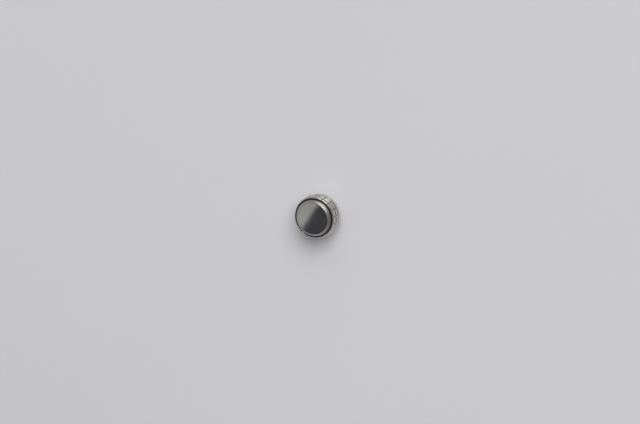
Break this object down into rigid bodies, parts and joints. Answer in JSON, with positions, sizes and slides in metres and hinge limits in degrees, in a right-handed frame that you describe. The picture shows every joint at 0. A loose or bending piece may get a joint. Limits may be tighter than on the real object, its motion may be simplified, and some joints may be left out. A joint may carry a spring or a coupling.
{
  "type": "screw-down watch crown",
  "caption": "Small steel screw-down watch crown with a bevelled polished cap, a barrel-shaped toothed grip and a sprung drive pipe tapped for the winding stem.",
  "frame": {"origin": "on the crown's axis, at the rear end of the drive pipe, with the spring holding the head out", "axes": "+Z along the axis, out through the cap; +X through the middle of a tooth of the grip"},
  "size_m": [0.0064, 0.0064, 0.0049],
  "materials": {
    "polished_steel": "mirror polished",
    "grip_steel": "polished over milled flutes",
    "turned_steel": "fine turned",
    "pipe_steel": "ground",
    "spring_steel": "drawn and bright",
    "seal_rubber": "smooth matte"
  },
  "bodies": {
    "pipe": {"drive_pipe": "pipe_steel", "return_spring": "spring_steel", "outer_o_ring": "seal_rubber", "inner_o_ring": "seal_rubber"},
    "head": {"grip_shell": "grip_steel", "cap_disc": "polished_steel", "drive_bush": "turned_steel", "thrust_washer": "spring_steel", "retaining_bush": "turned_steel", "tube_gasket": "seal_rubber", "gasket_washer": "turned_steel", "threaded_sleeve": "turned_steel"}
  },
  "joints": [
    {"name": "head_press", "type": "slide", "parent": "pipe", "child": "head", "axis": [0, 0, -1], "range_m": [0, 0.00085], "stiffness_N_per_m": 25, "springref_m": -0.0006, "deforming": ["return_spring"]}
  ]
}
